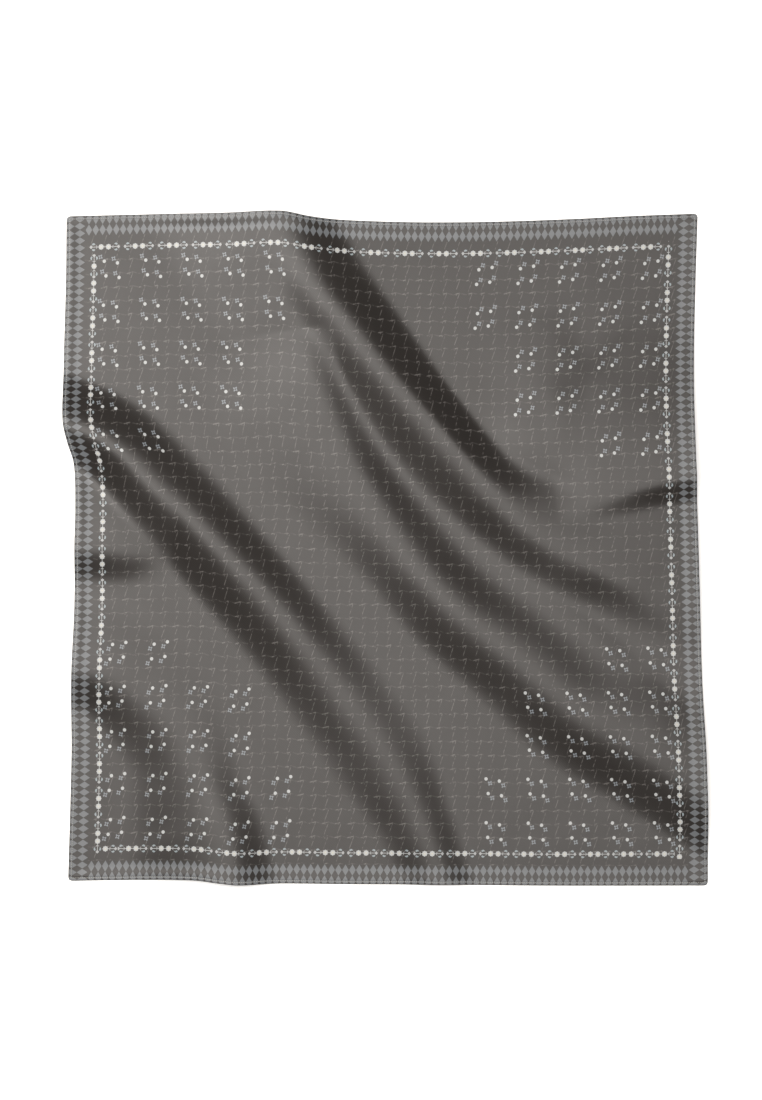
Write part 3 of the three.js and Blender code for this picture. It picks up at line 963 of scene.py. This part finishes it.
def printColour(tree, place):
    # the ground's dye with each layer, a mask and its dye, laid over it in the order of printing
    p = printing
    half = (p["art"] / 2, p["art"] / 2, 0)
    centred = addNode(tree, vectors, [place, half], operation="SUBTRACT")
    centred = addNode(tree, vectors, [centred], operation="ABSOLUTE")
    fromEdge = addNode(tree, vectors, [half, centred], operation="SUBTRACT")
    near = addNode(tree, "ShaderNodeSeparateXYZ", [fromEdge])
    nearest = addNode(tree, maths, [near.outputs[0], near.outputs[1]], operation="MINIMUM")
    field = addNode(tree, maths, [nearest, p["border"]], operation="GREATER_THAN")
    strokes = addNode(tree, maths, [latticeMask(tree, place), field], operation="MULTIPLY")

    layers = [(strokes, p["stroke"])]
    layers.append((diamondMask(tree, place, near, nearest), p["diamond"]))
    layers += chainLayers(tree, place, fromEdge)
    layers += sprigLayers(tree, fromEdge)
    colour = linearColour(p["taupe"])
    for mask, dye in layers:
        inputs = {0: mask, 6: colour, 7: linearColour(dye)}
        colour = addNode(tree, "ShaderNodeMix", inputs, data_type="RGBA").outputs[2]
    return colour


def waveScale(pitch):
    # at scale 1 a diagonal wave texture's angle is ten times the sum of its coordinates
    angle = 10
    return 2 * math.pi / (math.sqrt(2) * angle * pitch)


def makeSilk():
    # silk twill, screen printed and calendered: a dark dye under a broad soft gloss, which only
    # shows where the cloth lies flat to the light, so that its slopes go dark; fine slanting ribs
    p = printing
    material = bpy.data.materials.new("silk twill, screen printed and calendered")
    material.use_nodes = True
    tree = material.node_tree
    shader = tree.nodes["Principled BSDF"]
    uv = addNode(tree, "ShaderNodeUVMap", uv_map="print")
    place = addNode(tree, vectors, [uv, (p["art"], p["art"], 0)], operation="MULTIPLY")
    colour = printColour(tree, place)

    ribs = addNode(
        tree,
        "ShaderNodeTexWave",
        {"Vector": place, "Scale": waveScale(p["ribPitch"]), "Distortion": p["ribWander"]},
        bands_direction="DIAGONAL",
    )
    cloudInputs = {"Vector": place, "Scale": 1 / p["cloudSize"], "Detail": p["cloudDetail"]}
    cloudy = addNode(tree, "ShaderNodeTexNoise", cloudInputs).outputs["Fac"]
    shades = []
    for pattern, strength in ((ribs.outputs["Fac"], p["ribShade"]), (cloudy, p["cloudShade"])):
        inputs = [pattern, strength, 1 - strength / 2]
        shades.append(addNode(tree, maths, inputs, operation="MULTIPLY_ADD"))
    shade = addNode(tree, maths, shades, operation="MULTIPLY")
    dyed = addNode(tree, vectors, {0: colour, "Scale": shade}, operation="SCALE")
    tree.links.new(dyed.outputs[0], shader.inputs["Base Color"])
    rough = addNode(
        tree,
        maths,
        [cloudy, p["roughnessChange"], p["roughness"] - p["roughnessChange"] / 2],
        operation="MULTIPLY_ADD",
    )
    tree.links.new(rough.outputs[0], shader.inputs["Roughness"])
    bumpInputs = {"Height": ribs.outputs["Fac"], "Distance": p["ribDepth"]}
    bump = addNode(tree, "ShaderNodeBump", bumpInputs)
    tree.links.new(bump.outputs[0], shader.inputs["Normal"])
    shader.inputs["Specular IOR Level"].default_value = p["gloss"]
    return material


thread = dict(
    dye="A9A7A3",
    plyPitch=0.9,  # of the twisted thread, about 0.3 mm on a real one
    plyDepth=0.00004,
    roughness=0.5,
)


def makeThread():
    # spun polyester sewing thread, twisted: pale, softly lustrous, with slanting plies
    material = bpy.data.materials.new("polyester sewing thread, twisted")
    material.use_nodes = True
    tree = material.node_tree
    shader = tree.nodes["Principled BSDF"]
    place = addNode(tree, "ShaderNodeTexCoord").outputs["Object"]
    plyScale = waveScale(thread["plyPitch"] / 1000)
    plies = addNode(
        tree, "ShaderNodeTexWave", {"Vector": place, "Scale": plyScale}, bands_direction="DIAGONAL"
    )
    bumpInputs = {"Height": plies.outputs["Fac"], "Distance": thread["plyDepth"]}
    bump = addNode(tree, "ShaderNodeBump", bumpInputs)
    tree.links.new(bump.outputs[0], shader.inputs["Normal"])
    shader.inputs["Base Color"].default_value = linearColour(thread["dye"])
    shader.inputs["Roughness"].default_value = thread["roughness"]
    return material


silk = makeSilk()
scarf.data.materials.append(silk)
for piece in hems.values():
    piece.data.materials.append(silk)
stitches = makeStitches(makeThread())
print("materials: silk twill and thread;", len(stitches.data.polygons), "faces of stitches")


# How the pieces stand for the CAD nodes

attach(scarf, "root")
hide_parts("cloth_panel")
for side, piece in hems.items():
    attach(piece, "root")
    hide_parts("hem_" + side)
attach(stitches, "root")
